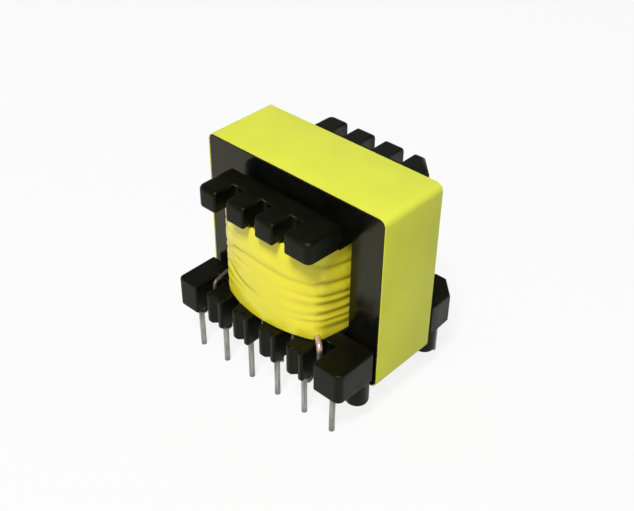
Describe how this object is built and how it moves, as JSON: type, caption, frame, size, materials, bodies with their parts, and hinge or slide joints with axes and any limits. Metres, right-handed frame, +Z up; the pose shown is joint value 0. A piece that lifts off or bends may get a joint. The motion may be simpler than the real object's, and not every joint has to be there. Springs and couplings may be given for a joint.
{
  "type": "transformer",
  "caption": "Board-mount transformer: E-shaped ferrite halves taped together around a black moulded bobbin with taped coils, slotted terminal blocks, feet and round wire pins.",
  "frame": {"origin": "centre of the pin grid, on the board plane where the feet rest", "axes": "+Z up from the board, -Y toward the front row of pins, +X to the right seen from the front"},
  "size_m": [0.0304, 0.0254, 0.0319],
  "materials": {
    "ferrite": "ground and glossy, near black",
    "core_tape": "smooth polyester tape",
    "bobbin_plastic": "moulded black, satin",
    "coil_wire": "enamelled copper",
    "layer_tape": "smooth polyester tape",
    "winding_tape": "folded polyester tape",
    "pin_metal": "tinned",
    "lead_wire": "copper wire, tinned toward the pins"
  },
  "bodies": {
    "root": {"core_upper": "ferrite", "core_lower": "ferrite", "core_tape": "core_tape", "bobbin": "bobbin_plastic", "primary_winding": "coil_wire", "secondary_winding": "coil_wire", "auxiliary_winding": "coil_wire", "primary_tape": "layer_tape", "secondary_tape": "layer_tape", "winding_tape": "winding_tape", "pin_01": "pin_metal", "pin_02": "pin_metal", "pin_03": "pin_metal", "pin_04": "pin_metal", "pin_05": "pin_metal", "pin_06": "pin_metal", "pin_07": "pin_metal", "pin_08": "pin_metal", "pin_09": "pin_metal", "pin_10": "pin_metal", "pin_11": "pin_metal", "pin_12": "pin_metal", "lead_01": "lead_wire", "lead_02": "lead_wire", "lead_04": "lead_wire", "lead_05": "lead_wire", "lead_06": "lead_wire", "lead_07": "lead_wire", "lead_08": "lead_wire", "lead_11": "lead_wire", "lead_12": "lead_wire"}
  },
  "joints": []
}
